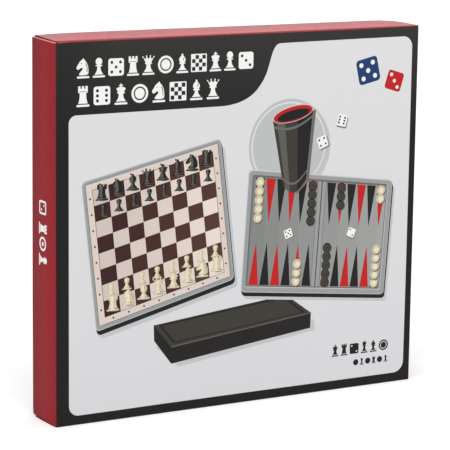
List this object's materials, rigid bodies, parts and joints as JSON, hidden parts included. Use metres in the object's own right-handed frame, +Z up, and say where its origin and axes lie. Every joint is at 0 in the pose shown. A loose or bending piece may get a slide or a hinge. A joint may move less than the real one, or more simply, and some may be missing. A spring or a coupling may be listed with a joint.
{
  "type": "games compendium box",
  "caption": "Tall flat retail carton with tuck closures, a light label panel on a dark front, and a folding magnetic game set with its pieces packed inside.",
  "frame": {"origin": "middle of the footprint on the surface the box stands on", "axes": "+Z up, the printed front faces -Y, +X to the right seen from the front"},
  "size_m": [0.36, 0.045, 0.3273],
  "materials": {
    "black_print": "satin laminated black print on fluted board",
    "red_print": "gloss laminated red print on fluted board",
    "white_board": "uncoated white inner liner with faint flute lines",
    "insert_board": "uncoated white corrugated board",
    "black_plastic": "fine grained black moulding",
    "steel_sheet": "thin rolled steel sheet",
    "light_print": "cream printed film",
    "dark_print": "dark brown printed film",
    "grey_print": "grey printed film",
    "black_ink": "black printed film",
    "red_ink": "red printed film",
    "clear_plastic": "clear styrene sheet",
    "steel_pin": "drawn steel wire",
    "dark_men": "dark brown moulded plastic",
    "light_men": "ivory moulded plastic",
    "red_men": "red moulded plastic",
    "magnet": "sintered ferrite disc",
    "dice_plastic": "polished white plastic",
    "leaflet_paper": "thin white offset paper"
  },
  "bodies": {
    "carton": {"front_panel": "black_print", "back_panel": "black_print", "left_side_panel": "red_print", "right_side_panel": "red_print", "glue_flap": "white_board", "insert_tray": "insert_board", "chess_leaf_shell": "black_plastic", "chess_steel_sheet": "steel_sheet", "chess_light_squares": "light_print", "chess_dark_squares": "dark_print", "backgammon_leaf_shell": "black_plastic", "backgammon_steel_sheet": "steel_sheet", "backgammon_field": "grey_print", "backgammon_dark_points": "black_ink", "backgammon_light_points": "red_ink", "centre_page_frame": "black_plastic", "centre_page": "clear_plastic", "book_hinge_pin": "steel_pin", "base_tray": "black_plastic", "base_steel_sheet": "steel_sheet", "base_divider": "black_plastic", "base_lid": "black_plastic", "dark_pawns": "dark_men", "dark_rooks": "dark_men", "dark_knights": "dark_men", "dark_bishops": "dark_men", "dark_queen": "dark_men", "dark_king": "dark_men", "light_pawns": "light_men", "light_rooks": "light_men", "light_knights": "light_men", "light_bishops": "light_men", "light_queen": "light_men", "light_king": "light_men", "chessman_magnets": "magnet", "light_checkers": "light_men", "dark_checkers": "red_men", "checker_magnets": "magnet", "dice": "dice_plastic", "doubling_cube": "dice_plastic", "rules_leaflet": "leaflet_paper"},
    "top_lid": {"top_lid_panel": "red_print"},
    "top_tab": {"top_tuck_tab": "white_board"},
    "top_flap_left": {"top_dust_flap_left": "white_board"},
    "top_flap_right": {"top_dust_flap_right": "white_board"},
    "bottom_closure": {"bottom_closure_panel": "black_print"},
    "bottom_tab": {"bottom_tuck_tab": "white_board"},
    "bottom_flap_left": {"bottom_dust_flap_left": "white_board"},
    "bottom_flap_right": {"bottom_dust_flap_right": "white_board"}
  },
  "joints": [
    {"name": "top_lid_fold", "type": "hinge", "parent": "carton", "child": "top_lid", "pos_m": [0, -0.021, 0.325], "axis": [1, 0, 0], "range_deg": [0, 180]},
    {"name": "top_tab_fold", "type": "hinge", "parent": "top_lid", "child": "top_tab", "pos_m": [0, 0.01899, 0.3257], "axis": [1, 0, 0], "range_deg": [0, 36]},
    {"name": "top_flap_left_fold", "type": "hinge", "parent": "carton", "child": "top_flap_left", "pos_m": [-0.1785, 0, 0.3234], "axis": [0, -1, 0], "range_deg": [0, 54]},
    {"name": "top_flap_right_fold", "type": "hinge", "parent": "carton", "child": "top_flap_right", "pos_m": [0.1785, 0, 0.3234], "axis": [0, 1, 0], "range_deg": [0, 54]},
    {"name": "bottom_closure_fold", "type": "hinge", "parent": "carton", "child": "bottom_closure", "pos_m": [0, -0.021, 0.0015], "axis": [-1, 0, 0], "range_deg": [0, 180]},
    {"name": "bottom_tab_fold", "type": "hinge", "parent": "bottom_closure", "child": "bottom_tab", "pos_m": [0, 0.019, 0.0015], "axis": [-1, 0, 0], "range_deg": [0, 36]},
    {"name": "bottom_flap_left_fold", "type": "hinge", "parent": "carton", "child": "bottom_flap_left", "pos_m": [-0.1785, 0, 0.0031], "axis": [0, 1, 0], "range_deg": [0, 54]},
    {"name": "bottom_flap_right_fold", "type": "hinge", "parent": "carton", "child": "bottom_flap_right", "pos_m": [0.1785, 0, 0.0031], "axis": [0, -1, 0], "range_deg": [0, 54]}
  ],
  "couplings": [
    {"joint": "top_tab_fold", "follows": "top_lid_fold", "ratio": 0.2},
    {"joint": "top_flap_left_fold", "follows": "top_lid_fold", "ratio": 0.3},
    {"joint": "top_flap_right_fold", "follows": "top_lid_fold", "ratio": 0.3},
    {"joint": "bottom_tab_fold", "follows": "bottom_closure_fold", "ratio": 0.2},
    {"joint": "bottom_flap_left_fold", "follows": "bottom_closure_fold", "ratio": 0.3},
    {"joint": "bottom_flap_right_fold", "follows": "bottom_closure_fold", "ratio": 0.3}
  ]
}
